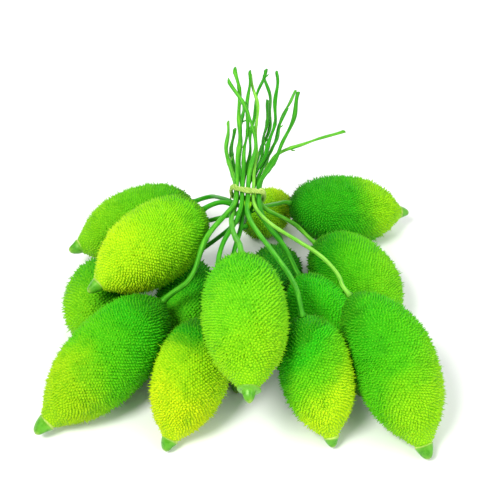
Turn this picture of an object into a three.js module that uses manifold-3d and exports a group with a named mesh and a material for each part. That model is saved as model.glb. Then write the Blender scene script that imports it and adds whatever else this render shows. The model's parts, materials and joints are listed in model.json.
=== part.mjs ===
// Bunch of teasel gourds (spine gourds) tied by their stems and laid down.
// Millimetres, +Z up, the surface the bunch lies on is z = 0, and the origin
// is under the middle of the bunch. +X runs along the broad side of the heap
// and +Y from the front gourds towards the cut stem ends.
import * as THREE from "three";
import { mergeVertices } from "three/addons/utils/BufferGeometryUtils.js";
import Module from "manifold-3d";

// ---------------------------------------------------------------- dimensions
const FRUIT_SIDES = 14; // facets round a fruit
const STEM_SIDES = 6; // facets round a stem
const TIP_SIDES = 8; // facets round a dried blossom tip
const TIP_SHARE = 0.09; // share of a gourd's length that is its blossom tip
const SKIN_SHARE = 0.953; // solid skin, as a share of the radius over the spines
const JOINT_GAP = 0.3; // gap where a stem or a blossom tip meets its fruit
const STEM_TAPER = 0.86; // radius of the cut end over the radius at the fruit
const BEND_REACH = 0.38; // share of the length over which the stem end bends
const BEND_POWER = 1.6;
const FLOOR = 0; // height of the surface under the bunch

// Fruit radius along its length, from the stem end to the neck.
const FRUIT_PROFILE = [
  [0, 0.1], [0.02, 0.3], [0.05, 0.47], [0.1, 0.66], [0.17, 0.82],
  [0.27, 0.94], [0.38, 0.995], [0.5, 1], [0.6, 0.97], [0.7, 0.89],
  [0.8, 0.74], [0.87, 0.58], [0.93, 0.41], [0.97, 0.29], [1, 0.22],
];
const FRUIT_STATIONS = [0, 0.035, 0.09, 0.17, 0.28, 0.42, 0.56, 0.69, 0.8, 0.89, 0.95, 1];

// Blossom tip: share of its length, share of the fruit's radius.
const TIP_PROFILE = [
  [0, 0.2], [0.12, 0.22], [0.28, 0.19], [0.6, 0.15], [0.88, 0.115], [1, 0.06],
];

// Each gourd: where its stem joins, where its blossom tip ends, how far the
// stem end leans out of the straight axis, and its greatest radius.
const FRUITS = [
  { id: "01", stemEnd: [-33.3, 56.15, 24.06], tip: [-104.18, 23.31, 17.02], bend: [2, 0, 3], radius: 22.48 },
  { id: "02", stemEnd: [-22.98, 11.25, 57.38], tip: [-81.79, -37.22, 42.08], bend: [0, 0, 0], radius: 22.24 },
  { id: "03", stemEnd: [-78.28, 7.65, 19.58], tip: [-86.37, -52.82, 13.96], bend: [0, 0, 0], radius: 18.45 },
  { id: "04", stemEnd: [-42.25, -42.95, 39.73], tip: [-103.64, -102.2, 5.84], bend: [0, 0, 0], radius: 22.08 },
  { id: "05", stemEnd: [-30.15, 9.93, 18.41], tip: [-34.85, -58.78, 12.99], bend: [0, 0, 0], radius: 17.31 },
  { id: "06", stemEnd: [-16.81, -59.45, 44.02], tip: [-37.92, -110.09, 2.43], bend: [0, 0, 0], radius: 19.38 },
  { id: "07", stemEnd: [-0.66, -45.79, 75.19], tip: [3.81, -117.27, 49.53], bend: [0, 0, 0], radius: 20.98 },
  { id: "08", stemEnd: [-5.72, -17.88, 41.47], tip: [-3.47, -73.03, 2.03], bend: [0, 0, 0], radius: 16.11 },
  { id: "09", stemEnd: [29.57, -69.06, 56.23], tip: [45.69, -107.52, 2.33], bend: [0, 0, 0], radius: 18.62 },
  { id: "10", stemEnd: [30.84, -17.69, 34.41], tip: [62.93, -76.8, 3.97], bend: [0, 0, 0], radius: 18.26 },
  { id: "11", stemEnd: [45.82, 20.13, 22.61], tip: [88.12, -36.51, 18.08], bend: [-3, 0, 2], radius: 22.16 },
  { id: "12", stemEnd: [65.52, -55.73, 53.11], tip: [92.07, -114.88, 2.68], bend: [-11, 2, 2], radius: 21.49 },
  { id: "13", stemEnd: [31.73, 48.43, 28.55], tip: [104.37, 64.94, 11.48], bend: [-3, 0, 4], radius: 21.46 },
  { id: "14", stemEnd: [1.86, 46.49, 16.27], tip: [29.36, 80.53, 11.92], bend: [0, 0, 0], radius: 15.17 },
  { id: "15", stemEnd: [22.87, 20.38, 15.42], tip: [10.22, -28.64, 22.37], bend: [0, 0, 0], radius: 16.03 },
];

// Each stem from its fruit, through the tie, to its cut end.
const STEMS = [
  { id: "01", radius: 1.30, route: [
    [-31.03, 56.26, 27.13],
    [-28.14, 57.46, 27.82],
    [-23.37, 57.48, 29.68],
    [-20.14, 55.86, 31.7],
    [-18.06, 53.02, 33.98],
    [-16.47, 49.4, 36.6],
    [-13.27, 40.93, 42.58],
    [-11.35, 36.4, 45.59],
    [-9.23, 31.85, 48.35],
    [-6.98, 27.43, 50.68],
    [-2.75, 20.02, 54],
    [-1.34, 18.03, 55.42],
    [-0.69, 18.38, 57.08],
    [-0.53, 25.87, 60.41],
    [-1.77, 37.76, 63.56],
    [-2.05, 46.65, 65.4],
    [-1.69, 65.43, 68.92],
    [-0.5, 93.91, 73.81],
  ] },
  { id: "02", radius: 1.35, route: [
    [-22.75, 11.44, 57.44],
    [-20.33, 13.43, 58.07],
    [-15.55, 16.23, 58.5],
    [-11.87, 17.48, 58.3],
    [-9.09, 17.55, 57.7],
    [-6.83, 17.19, 57.01],
    [-5.04, 17.16, 56.62],
    [-3.89, 18.44, 57.1],
    [-3.73, 25.93, 60.44],
    [-5.76, 37.75, 63.8],
    [-6.56, 46.44, 66.05],
    [-6.62, 55.45, 68.32],
    [-5.91, 69.11, 71.69],
  ] },
  { id: "03", radius: 1.20, route: [
    [-78.24, 7.94, 19.61],
    [-77.82, 11.1, 19.9],
    [-73.3, 14.03, 22.06],
    [-68.69, 15.06, 24.05],
    [-64.57, 15.79, 25.62],
    [-53.61, 17.19, 29.61],
    [-42.97, 18.16, 34.1],
    [-31.64, 18.4, 39.39],
    [-23.72, 17.8, 43.21],
    [-11.82, 15.73, 48.92],
    [-7.94, 15.16, 50.6],
    [-4.28, 14.9, 52.16],
    [-1.07, 15.16, 53.68],
    [1.34, 16.17, 55.27],
    [2.4, 18.32, 57.05],
    [2.57, 25.81, 60.39],
    [2.9, 29.58, 61.6],
    [4.53, 37.64, 63.44],
    [12.88, 63.86, 68.18],
    [14.96, 72.78, 69.94],
    [16.24, 81.73, 71.72],
    [16.51, 86.21, 72.61],
    [16.26, 95.17, 74.37],
    [15.24, 104.1, 76.09],
    [13.04, 117.46, 78.61],
  ] },
  { id: "04", radius: 1.45, route: [
    [-42.05, -42.76, 39.85],
    [-39.91, -40.69, 41.03],
    [-36.53, -38.13, 42.25],
    [-30.88, -34.28, 44.15],
    [-28.65, -32.38, 45.43],
    [-26.84, -30.26, 47.09],
    [-25.42, -27.91, 49.08],
    [-24.31, -25.37, 51.27],
    [-22.31, -19.89, 55.67],
    [-21.08, -16.99, 57.61],
    [-19.52, -13.97, 59.22],
    [-17.63, -10.78, 60.43],
    [-15.47, -7.4, 61.26],
    [-10.69, -0.06, 62.22],
    [-8.36, 3.86, 62.45],
    [-6.26, 7.85, 62.45],
    [-4.67, 11.84, 62.49],
    [-3.89, 15.79, 63.04],
    [-3.73, 23.28, 66.38],
    [-3.31, 29.89, 69.81],
    [-2.92, 37.02, 74.16],
    [-2.03, 59.53, 89.23],
    [-2.74, 70.67, 96.63],
    [-4.5, 81.82, 103.87],
  ] },
  { id: "05", radius: 1.25, route: [
    [-30.13, 10.23, 18.43],
    [-29.91, 13.41, 18.68],
    [-27.81, 16.19, 19.98],
    [-24.89, 17.7, 22.04],
    [-21.63, 18.12, 24.8],
    [-18.31, 17.75, 28.15],
    [-15.07, 16.83, 31.96],
    [-11.97, 15.61, 36.05],
    [-6.3, 13.16, 44.37],
    [-3.74, 12.35, 48.28],
    [-1.41, 12.1, 51.84],
    [0.55, 12.65, 54.99],
    [1.9, 14.25, 57.69],
    [2.4, 17.02, 59.98],
    [2.57, 24.51, 63.31],
    [3.88, 28.11, 65.04],
    [12.33, 42.89, 72],
    [14.01, 46.82, 73.73],
    [16.39, 54.96, 77.22],
    [17.84, 63.35, 80.71],
    [19.13, 76.16, 85.83],
    [19.8, 89.06, 90.79],
    [19.88, 97.66, 94.03],
  ] },
  { id: "06", radius: 1.35, route: [
    [-16.72, -59.23, 44.2],
    [-15.74, -56.9, 46.16],
    [-14.99, -52.99, 48.26],
    [-14.72, -49.61, 49.35],
    [-13.91, -36.17, 51.45],
    [-12.87, -24.81, 53.74],
    [-12.27, -20.98, 54.54],
    [-11.43, -17.19, 55.29],
    [-10.29, -13.45, 55.98],
    [-8.86, -9.79, 56.6],
    [-3.81, 0.93, 58.4],
    [-2.5, 4.56, 59.28],
    [-1.53, 8.23, 60.34],
    [-0.9, 11.95, 61.57],
    [-0.59, 15.73, 63.02],
    [-0.43, 23.22, 66.35],
    [-0.06, 29.86, 69.69],
    [0.56, 36.75, 74.17],
    [2.17, 54.27, 87.46],
    [3.51, 78.52, 105.84],
  ] },
  { id: "07", radius: 1.45, route: [
    [-0.67, -45.51, 75.29],
    [-0.86, -42.5, 76.37],
    [-1.5, -37.29, 75.5],
    [-2.15, -33.03, 73.51],
    [-3.44, -25.57, 69.18],
    [-4.1, -21.73, 67.4],
    [-5.33, -13.67, 64.55],
    [-6.15, -5.53, 62.26],
    [-6.35, -1.65, 61.21],
    [-6.31, 2, 60.24],
    [-5.97, 5.35, 59.41],
    [-5.5, 8.44, 59],
    [-4.95, 11.3, 58.9],
    [-4.4, 14.08, 59.16],
    [-3.99, 17.14, 60.03],
    [-3.83, 24.63, 63.36],
    [-4.74, 28.42, 64.94],
    [-7.31, 36.28, 68.25],
    [-9.09, 44.39, 71.65],
    [-9.62, 52.65, 75.05],
    [-9.12, 65.12, 80.07],
  ] },
  { id: "08", radius: 1.25, route: [
    [-5.73, -17.64, 41.65],
    [-5.84, -15.07, 43.55],
    [-5.37, -12.28, 45.49],
    [-4.57, -9.42, 47.37],
    [-2.52, -3.53, 50.88],
    [-1.57, -0.46, 52.54],
    [-0.89, 2.73, 54.16],
    [-0.58, 6.07, 55.72],
    [-0.6, 9.57, 57.22],
    [-0.79, 17.08, 60],
    [-0.63, 24.57, 63.34],
    [1.87, 36.25, 68.31],
    [3.27, 44.42, 71.64],
    [4.85, 61.14, 78.04],
    [6.52, 73.75, 82.57],
    [9.01, 86.29, 86.89],
    [13.16, 102.87, 92.37],
  ] },
  { id: "09", radius: 1.40, route: [
    [29.5, -68.89, 56.47],
    [28.76, -67.12, 59.03],
    [27.99, -64.34, 61.92],
    [27.52, -61.89, 63.29],
    [27.09, -59.37, 63.71],
    [25.58, -53.24, 63.57],
    [23.24, -45.99, 63.13],
    [21.8, -42.2, 62.84],
    [13.53, -23.01, 61.37],
    [8.14, -11.45, 60.8],
    [4.84, -3.62, 60.73],
    [3.56, 0.35, 60.85],
    [2.65, 4.29, 61.06],
    [2.22, 8.16, 61.42],
    [2.32, 11.94, 62],
    [2.7, 15.67, 62.99],
    [2.87, 23.16, 66.32],
    [3.09, 26.2, 68.04],
    [3.61, 29.14, 70.12],
    [6.18, 38.46, 77.93],
    [6.57, 41.72, 80.83],
    [6.46, 45.01, 83.76],
    [5.81, 48.29, 86.66],
    [4.63, 51.51, 89.48],
    [1.06, 57.78, 94.82],
    [-8.04, 69.92, 104.81],
  ] },
  { id: "10", radius: 1.45, route: [
    [30.71, -17.45, 34.54],
    [29.32, -14.89, 35.86],
    [27.79, -12.05, 37.93],
    [26.14, -9.28, 40.34],
    [24.32, -6.7, 42.86],
    [22.28, -4.35, 45.35],
    [19.98, -2.21, 47.73],
    [15, 1.8, 52.17],
    [12.76, 3.96, 54.35],
    [10.97, 6.36, 56.55],
    [9.71, 9.08, 58.74],
    [9.01, 12.13, 60.9],
    [8.7, 15.56, 62.94],
    [8.87, 23.05, 66.27],
    [10.25, 26.29, 67.66],
    [17.18, 36.08, 72.73],
    [19.33, 39.53, 74.83],
    [23.09, 46.61, 79.3],
    [26.38, 53.8, 83.85],
    [29.16, 61.08, 88.39],
    [32.14, 72.22, 95.27],
  ] },
  { id: "11", radius: 1.25, route: [
    [42.62, 20.34, 24.66],
    [40.43, 22.62, 25.17],
    [36.65, 25.75, 27.28],
    [33.73, 26.99, 29.92],
    [31.21, 26.57, 33.07],
    [28.58, 25.03, 36.66],
    [22.57, 20.41, 44.54],
    [19.3, 18.08, 48.42],
    [16.04, 16.18, 51.98],
    [13.01, 15.07, 55.11],
    [10.55, 15.16, 57.75],
    [9.1, 16.9, 59.92],
    [9.27, 24.39, 63.26],
    [9.96, 27.89, 64.96],
    [11.25, 31.35, 66.72],
    [12.96, 34.79, 68.43],
    [15.1, 38.15, 70.03],
    [17.68, 41.34, 71.46],
    [20.73, 44.27, 72.61],
    [24.26, 46.87, 73.4],
    [28.23, 49.12, 73.81],
    [45.82, 56.63, 74.13],
    [58.36, 62.93, 75.52],
  ] },
  { id: "12", radius: 1.05, route: [
    [54.34, -53.56, 55.27],
    [52.36, -51.68, 56.95],
    [50.71, -49.36, 57.86],
    [50.22, -47.34, 57.95],
    [49.97, -45.08, 57.91],
    [49.28, -42.39, 58.07],
    [48.01, -39.36, 58.42],
    [46.21, -36.18, 58.84],
    [44.02, -32.97, 59.25],
    [41.55, -29.83, 59.59],
    [36.1, -23.84, 59.94],
    [18.16, -6.31, 59.68],
    [15.21, -3.06, 59.76],
    [12.41, 0.37, 59.99],
    [9.83, 3.98, 60.36],
    [7.67, 7.73, 60.93],
    [6.2, 11.63, 61.76],
    [5.7, 15.62, 62.96],
    [5.87, 23.11, 66.3],
    [6.17, 30.05, 69.02],
    [6.63, 37.35, 72.95],
    [7.54, 48.31, 80.37],
    [8.01, 58.96, 88.06],
    [7.52, 65.96, 93.07],
    [6.96, 69.44, 95.52],
    [4.52, 79.88, 102.74],
  ] },
  { id: "13", radius: 1.20, route: [
    [28.46, 48.37, 32.66],
    [25.53, 47.8, 33.81],
    [23.11, 44.97, 35.91],
    [21.26, 40.97, 38.63],
    [17.78, 31.66, 45.24],
    [15.82, 27.05, 48.59],
    [13.71, 22.9, 51.53],
    [11.59, 19.6, 53.86],
    [9.71, 17.75, 55.59],
    [8.5, 18.21, 57],
    [8.67, 25.7, 60.34],
    [9.24, 29.47, 61.65],
    [11.41, 37.5, 63.88],
    [16.92, 54.94, 67.84],
    [23.96, 82.23, 73.37],
    [27.06, 91.16, 75.03],
    [32.6, 104.31, 77.36],
  ] },
  { id: "14", radius: 1.10, route: [
    [1.67, 46.25, 16.3],
    [-0.33, 43.78, 16.62],
    [-1.62, 40.49, 18.82],
    [-2.02, 37.08, 22.19],
    [-1.77, 33.58, 26.35],
    [-1.06, 30.02, 30.99],
    [1.01, 23.14, 40.49],
    [2.12, 20.21, 44.89],
    [3.17, 17.95, 48.8],
    [4.1, 16.66, 52.14],
    [4.85, 16.65, 54.86],
    [5.4, 18.27, 57.03],
    [5.57, 25.76, 60.36],
    [6.63, 33.37, 63.02],
    [9.57, 45.88, 66.7],
    [11.26, 54.77, 69.04],
    [13.02, 68.62, 72.19],
    [15.02, 92.09, 77.11],
  ] },
  { id: "15", radius: 1.15, route: [
    [22.94, 20.66, 15.38],
    [23.74, 23.73, 14.94],
    [23.64, 27.84, 16.45],
    [22.54, 29.82, 19.39],
    [20.71, 29.73, 23.43],
    [18.49, 28.13, 28.24],
    [16.11, 25.57, 33.49],
    [11.55, 19.53, 44.21],
    [9.57, 17.01, 49.17],
    [7.88, 15.43, 53.56],
    [6.53, 15.27, 57.2],
    [5.7, 16.96, 59.95],
    [5.87, 24.45, 63.28],
    [7.06, 28.38, 64.56],
    [12.61, 40.84, 68.36],
    [16.01, 49.29, 71.16],
    [25.63, 78.91, 80.8],
  ] },
];

// Tie: a fibre cord wound round all the stems.
const TIE_CENTRE = [2.6900, 20.9300, 61.5000];
const BUNDLE_DIRECTION = [0.0200, 0.9134, 0.4067];
const BUNDLE_SIDE = [0.9998, -0.0183, -0.0081];
const BUNDLE_TOP = [0.0000, -0.4067, 0.9135];
const TIE_RADIUS = 1.3;
const TIE_CLEARANCE = 0.45;
const TIE_DIRECTIONS = 26; // points round the loop
const TIE_SIDES = 8;
const TIE_SLOPE = -0.14; // the loop sits a little lower on its right side

// ------------------------------------------------------------------- helpers
const wasm = await Module();
wasm.setup();
const vec = (a) => new THREE.Vector3(a[0], a[1], a[2]);

function lookUp(table, t) {
  for (let i = 1; i < table.length; i++)
    if (t <= table[i][0]) {
      const [t0, v0] = table[i - 1], [t1, v1] = table[i];
      return v0 + ((v1 - v0) * (t - t0)) / (t1 - t0);
    }
  return table[table.length - 1][1];
}

// A closed surface through rings of equal point count; open = capped ends.
function skin(rings, closedLoop = false) {
  const n = rings[0].length, m = rings.length;
  const points = rings.flat(), index = [];
  const last = closedLoop ? m : m - 1;
  for (let i = 0; i < last; i++)
    for (let j = 0; j < n; j++) {
      const a = i * n + j, b = i * n + ((j + 1) % n);
      const c = ((i + 1) % m) * n + j, d = ((i + 1) % m) * n + ((j + 1) % n);
      index.push(a, b, d, a, d, c);
    }
  if (!closedLoop) {
    for (let j = 1; j < n - 1; j++) {
      index.push(0, j + 1, j);
      const k = (m - 1) * n;
      index.push(k, k + j, k + j + 1);
    }
  }
  const g = new THREE.BufferGeometry();
  g.setAttribute("position", new THREE.Float32BufferAttribute(points.flatMap((p) => [p.x, p.y, p.z]), 3));
  g.setIndex(index);
  let volume = 0;
  for (let i = 0; i < index.length; i += 3) {
    const a = points[index[i]], b = points[index[i + 1]], c = points[index[i + 2]];
    volume += a.dot(new THREE.Vector3().crossVectors(b, c));
  }
  if (volume < 0) {
    for (let i = 0; i < index.length; i += 3) [index[i + 1], index[i + 2]] = [index[i + 2], index[i + 1]];
    g.setIndex(index);
  }
  return g;
}

function ring(centre, along, start, radius, sides) {
  const u = start.clone().addScaledVector(along, -start.dot(along)).normalize();
  const w = new THREE.Vector3().crossVectors(along, u);
  return Array.from({ length: sides }, (_, i) => {
    const a = (2 * Math.PI * i) / sides;
    return centre.clone().addScaledVector(u, radius * Math.cos(a)).addScaledVector(w, radius * Math.sin(a));
  });
}

// Rings that keep their own roll along a bending centre line.
function tube(points, radiusAt, sides, closedLoop = false) {
  const m = points.length, tangents = points.map((p, i) => {
    const a = points[closedLoop ? (i - 1 + m) % m : Math.max(0, i - 1)];
    const b = points[closedLoop ? (i + 1) % m : Math.min(m - 1, i + 1)];
    return b.clone().sub(a).normalize();
  });
  let start = Math.abs(tangents[0].z) < 0.9 ? new THREE.Vector3(0, 0, 1) : new THREE.Vector3(1, 0, 0);
  const rings = points.map((p, i) => {
    const r = ring(p, tangents[i], start, radiusAt(i / (m - 1)), sides);
    start = r[0].clone().sub(p).normalize();
    return r;
  });
  return skin(rings, closedLoop);
}

// The part of a geometry above the surface, so that what lies on it is flat.
function cutAtFloor(geometry) {
  const bare = mergeVertices(geometry, 1e-4);
  const solid = new wasm.Manifold(new wasm.Mesh({
    numProp: 3,
    vertProperties: new Float32Array(bare.attributes.position.array),
    triVerts: new Uint32Array(bare.index.array),
  }));
  const cut = solid.trimByPlane([0, 0, 1], FLOOR).getMesh();
  const g = new THREE.BufferGeometry();
  const xyz = new Float32Array(cut.numVert * 3);
  for (let i = 0; i < cut.numVert; i++)
    for (let k = 0; k < 3; k++) xyz[3 * i + k] = cut.vertProperties[cut.numProp * i + k];
  g.setAttribute("position", new THREE.BufferAttribute(xyz, 3));
  g.setIndex(new THREE.BufferAttribute(new Uint32Array(cut.triVerts), 1));
  return g;
}

// ------------------------------------------------------------------ the bunch
const bunch = new THREE.Group();
const DOWN = new THREE.Vector3(0, 0, -1);

function place(name, geometry, colour, roughness) {
  const lowest = new THREE.Box3().setFromBufferAttribute(geometry.getAttribute("position")).min.z;
  const g = lowest < FLOOR ? cutAtFloor(geometry) : geometry;
  const flat = g.toNonIndexed();
  flat.computeVertexNormals();
  const mesh = new THREE.Mesh(flat, new THREE.MeshStandardMaterial({ color: colour, roughness, metalness: 0 }));
  mesh.name = name;
  bunch.add(mesh);
}

// Centre line of a fruit: straight, with the stem end leaning by its bend.
function axisPoint(fruit, t) {
  const lean = Math.pow(Math.max(0, (BEND_REACH - t) / BEND_REACH), BEND_POWER);
  return vec(fruit.stemEnd).lerp(vec(fruit.tip), t).addScaledVector(vec(fruit.bend), lean);
}

const SKIN_COLOURS = {
  "01": 0x4fb31a, "02": 0x7cc62a, "03": 0x8fc93a, "04": 0x55b320, "05": 0x2f8f1a,
  "06": 0x86bf22, "07": 0x57b82a, "08": 0x2f8f2a, "09": 0x6cbf20, "10": 0x3d9f22,
  "11": 0x3fa521, "12": 0x63c127, "13": 0x3f9f1f, "14": 0x8ccc3a, "15": 0x2f8f2a,
};

for (const fruit of FRUITS) {
  const rings = FRUIT_STATIONS.map((s) => {
    const t = s * (1 - TIP_SHARE), h = 0.01;
    const along = axisPoint(fruit, t + h).sub(axisPoint(fruit, Math.max(0, t - h))).normalize();
    return ring(axisPoint(fruit, t), along, DOWN, fruit.radius * SKIN_SHARE * lookUp(FRUIT_PROFILE, s), FRUIT_SIDES);
  });
  place("gourd_" + fruit.id, skin(rings), SKIN_COLOURS[fruit.id], 0.5);

  const neck = axisPoint(fruit, 1 - TIP_SHARE), end = vec(fruit.tip);
  const length = neck.distanceTo(end), along = end.clone().sub(neck).normalize();
  const tipRings = TIP_PROFILE.map(([s, r]) =>
    ring(neck.clone().addScaledVector(along, JOINT_GAP + s * (length - JOINT_GAP)), along, DOWN, fruit.radius * r, TIP_SIDES));
  place("blossom_tip_" + fruit.id, skin(tipRings), 0x4f9a3a, 0.4);
}

for (const stem of STEMS)
  place("stem_" + stem.id, tube(stem.route.map(vec), (s) => stem.radius * (1 + (STEM_TAPER - 1) * s), STEM_SIDES), 0x7fc04a, 0.45);

// The tie lies on the outer stems: the hull of their circles, drawn out by the
// cord's own radius.
const tieCentre = vec(TIE_CENTRE), side = vec(BUNDLE_SIDE), top = vec(BUNDLE_TOP), bundle = vec(BUNDLE_DIRECTION);
const crossings = STEMS.map((stem) => {
  const pts = stem.route.map(vec);
  for (let i = 1; i < pts.length; i++) {
    const a = pts[i - 1].clone().sub(tieCentre), b = pts[i].clone().sub(tieCentre);
    const da = a.dot(bundle), db = b.dot(bundle);
    if (da <= 0 && db > 0) {
      const p = a.lerp(b, -da / (db - da));
      return [p.dot(side), p.dot(top), stem.radius];
    }
  }
  throw new Error("stem_" + stem.id + " does not pass the tie");
});
const loop = Array.from({ length: TIE_DIRECTIONS }, (_, i) => {
  const a = (2 * Math.PI * i) / TIE_DIRECTIONS, c = Math.cos(a), s = Math.sin(a);
  let best = crossings[0], most = -Infinity;
  for (const x of crossings) {
    const reach = x[0] * c + x[1] * s + x[2];
    if (reach > most) (most = reach), (best = x);
  }
  const out = best[2] + TIE_CLEARANCE + TIE_RADIUS;
  const u = best[0] + out * c, w = best[1] + out * s;
  return tieCentre.clone().addScaledVector(side, u).addScaledVector(top, w).addScaledVector(bundle, TIE_SLOPE * u);
});
place("tie", tube(loop, () => TIE_RADIUS, TIE_SIDES, true), 0xb9b06a, 0.8);

export default bunch;
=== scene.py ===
"""Looks of the tied bunch of teasel gourds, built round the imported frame. Metres; the tables are in millimetres."""
import json
import math

import bpy
import numpy as np
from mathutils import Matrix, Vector, geometry

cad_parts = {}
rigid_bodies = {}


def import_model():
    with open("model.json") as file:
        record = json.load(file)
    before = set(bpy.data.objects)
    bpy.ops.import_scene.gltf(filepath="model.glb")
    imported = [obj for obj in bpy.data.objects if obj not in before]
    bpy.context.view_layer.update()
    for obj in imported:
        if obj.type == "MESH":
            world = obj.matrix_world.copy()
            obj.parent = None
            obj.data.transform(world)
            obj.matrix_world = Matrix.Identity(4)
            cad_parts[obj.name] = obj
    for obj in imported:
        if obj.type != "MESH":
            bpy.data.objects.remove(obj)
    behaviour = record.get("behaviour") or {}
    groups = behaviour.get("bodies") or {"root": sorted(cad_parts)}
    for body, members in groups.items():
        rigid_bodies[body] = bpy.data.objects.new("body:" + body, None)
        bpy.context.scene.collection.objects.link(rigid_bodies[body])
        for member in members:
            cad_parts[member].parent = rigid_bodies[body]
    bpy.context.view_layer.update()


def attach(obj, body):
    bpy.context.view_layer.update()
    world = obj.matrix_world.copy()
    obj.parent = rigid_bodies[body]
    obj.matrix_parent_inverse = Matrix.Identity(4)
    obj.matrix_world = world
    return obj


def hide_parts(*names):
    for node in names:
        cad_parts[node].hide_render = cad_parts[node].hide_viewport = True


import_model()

MM = 0.001

# --------------------------------------------------------------------- tables
# Fruits: stem end, blossom tip, lean of the stem end, greatest radius.
FRUITS = {
    "01": ((-33.3, 56.15, 24.06), (-104.18, 23.31, 17.02), (2, 0, 3), 22.48),
    "02": ((-22.98, 11.25, 57.38), (-81.79, -37.22, 42.08), (0, 0, 0), 22.24),
    "03": ((-78.28, 7.65, 19.58), (-86.37, -52.82, 13.96), (0, 0, 0), 18.45),
    "04": ((-42.25, -42.95, 39.73), (-103.64, -102.2, 5.84), (0, 0, 0), 22.08),
    "05": ((-30.15, 9.93, 18.41), (-34.85, -58.78, 12.99), (0, 0, 0), 17.31),
    "06": ((-16.81, -59.45, 44.02), (-37.92, -110.09, 2.43), (0, 0, 0), 19.38),
    "07": ((-0.66, -45.79, 75.19), (3.81, -117.27, 49.53), (0, 0, 0), 20.98),
    "08": ((-5.72, -17.88, 41.47), (-3.47, -73.03, 2.03), (0, 0, 0), 16.11),
    "09": ((29.57, -69.06, 56.23), (45.69, -107.52, 2.33), (0, 0, 0), 18.62),
    "10": ((30.84, -17.69, 34.41), (62.93, -76.8, 3.97), (0, 0, 0), 18.26),
    "11": ((45.82, 20.13, 22.61), (88.12, -36.51, 18.08), (-3, 0, 2), 22.16),
    "12": ((65.52, -55.73, 53.11), (92.07, -114.88, 2.68), (-11, 2, 2), 21.49),
    "13": ((31.73, 48.43, 28.55), (104.37, 64.94, 11.48), (-3, 0, 4), 21.46),
    "14": ((1.86, 46.49, 16.27), (29.36, 80.53, 11.92), (0, 0, 0), 15.17),
    "15": ((22.87, 20.38, 15.42), (10.22, -28.64, 22.37), (0, 0, 0), 16.03),
}

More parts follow.
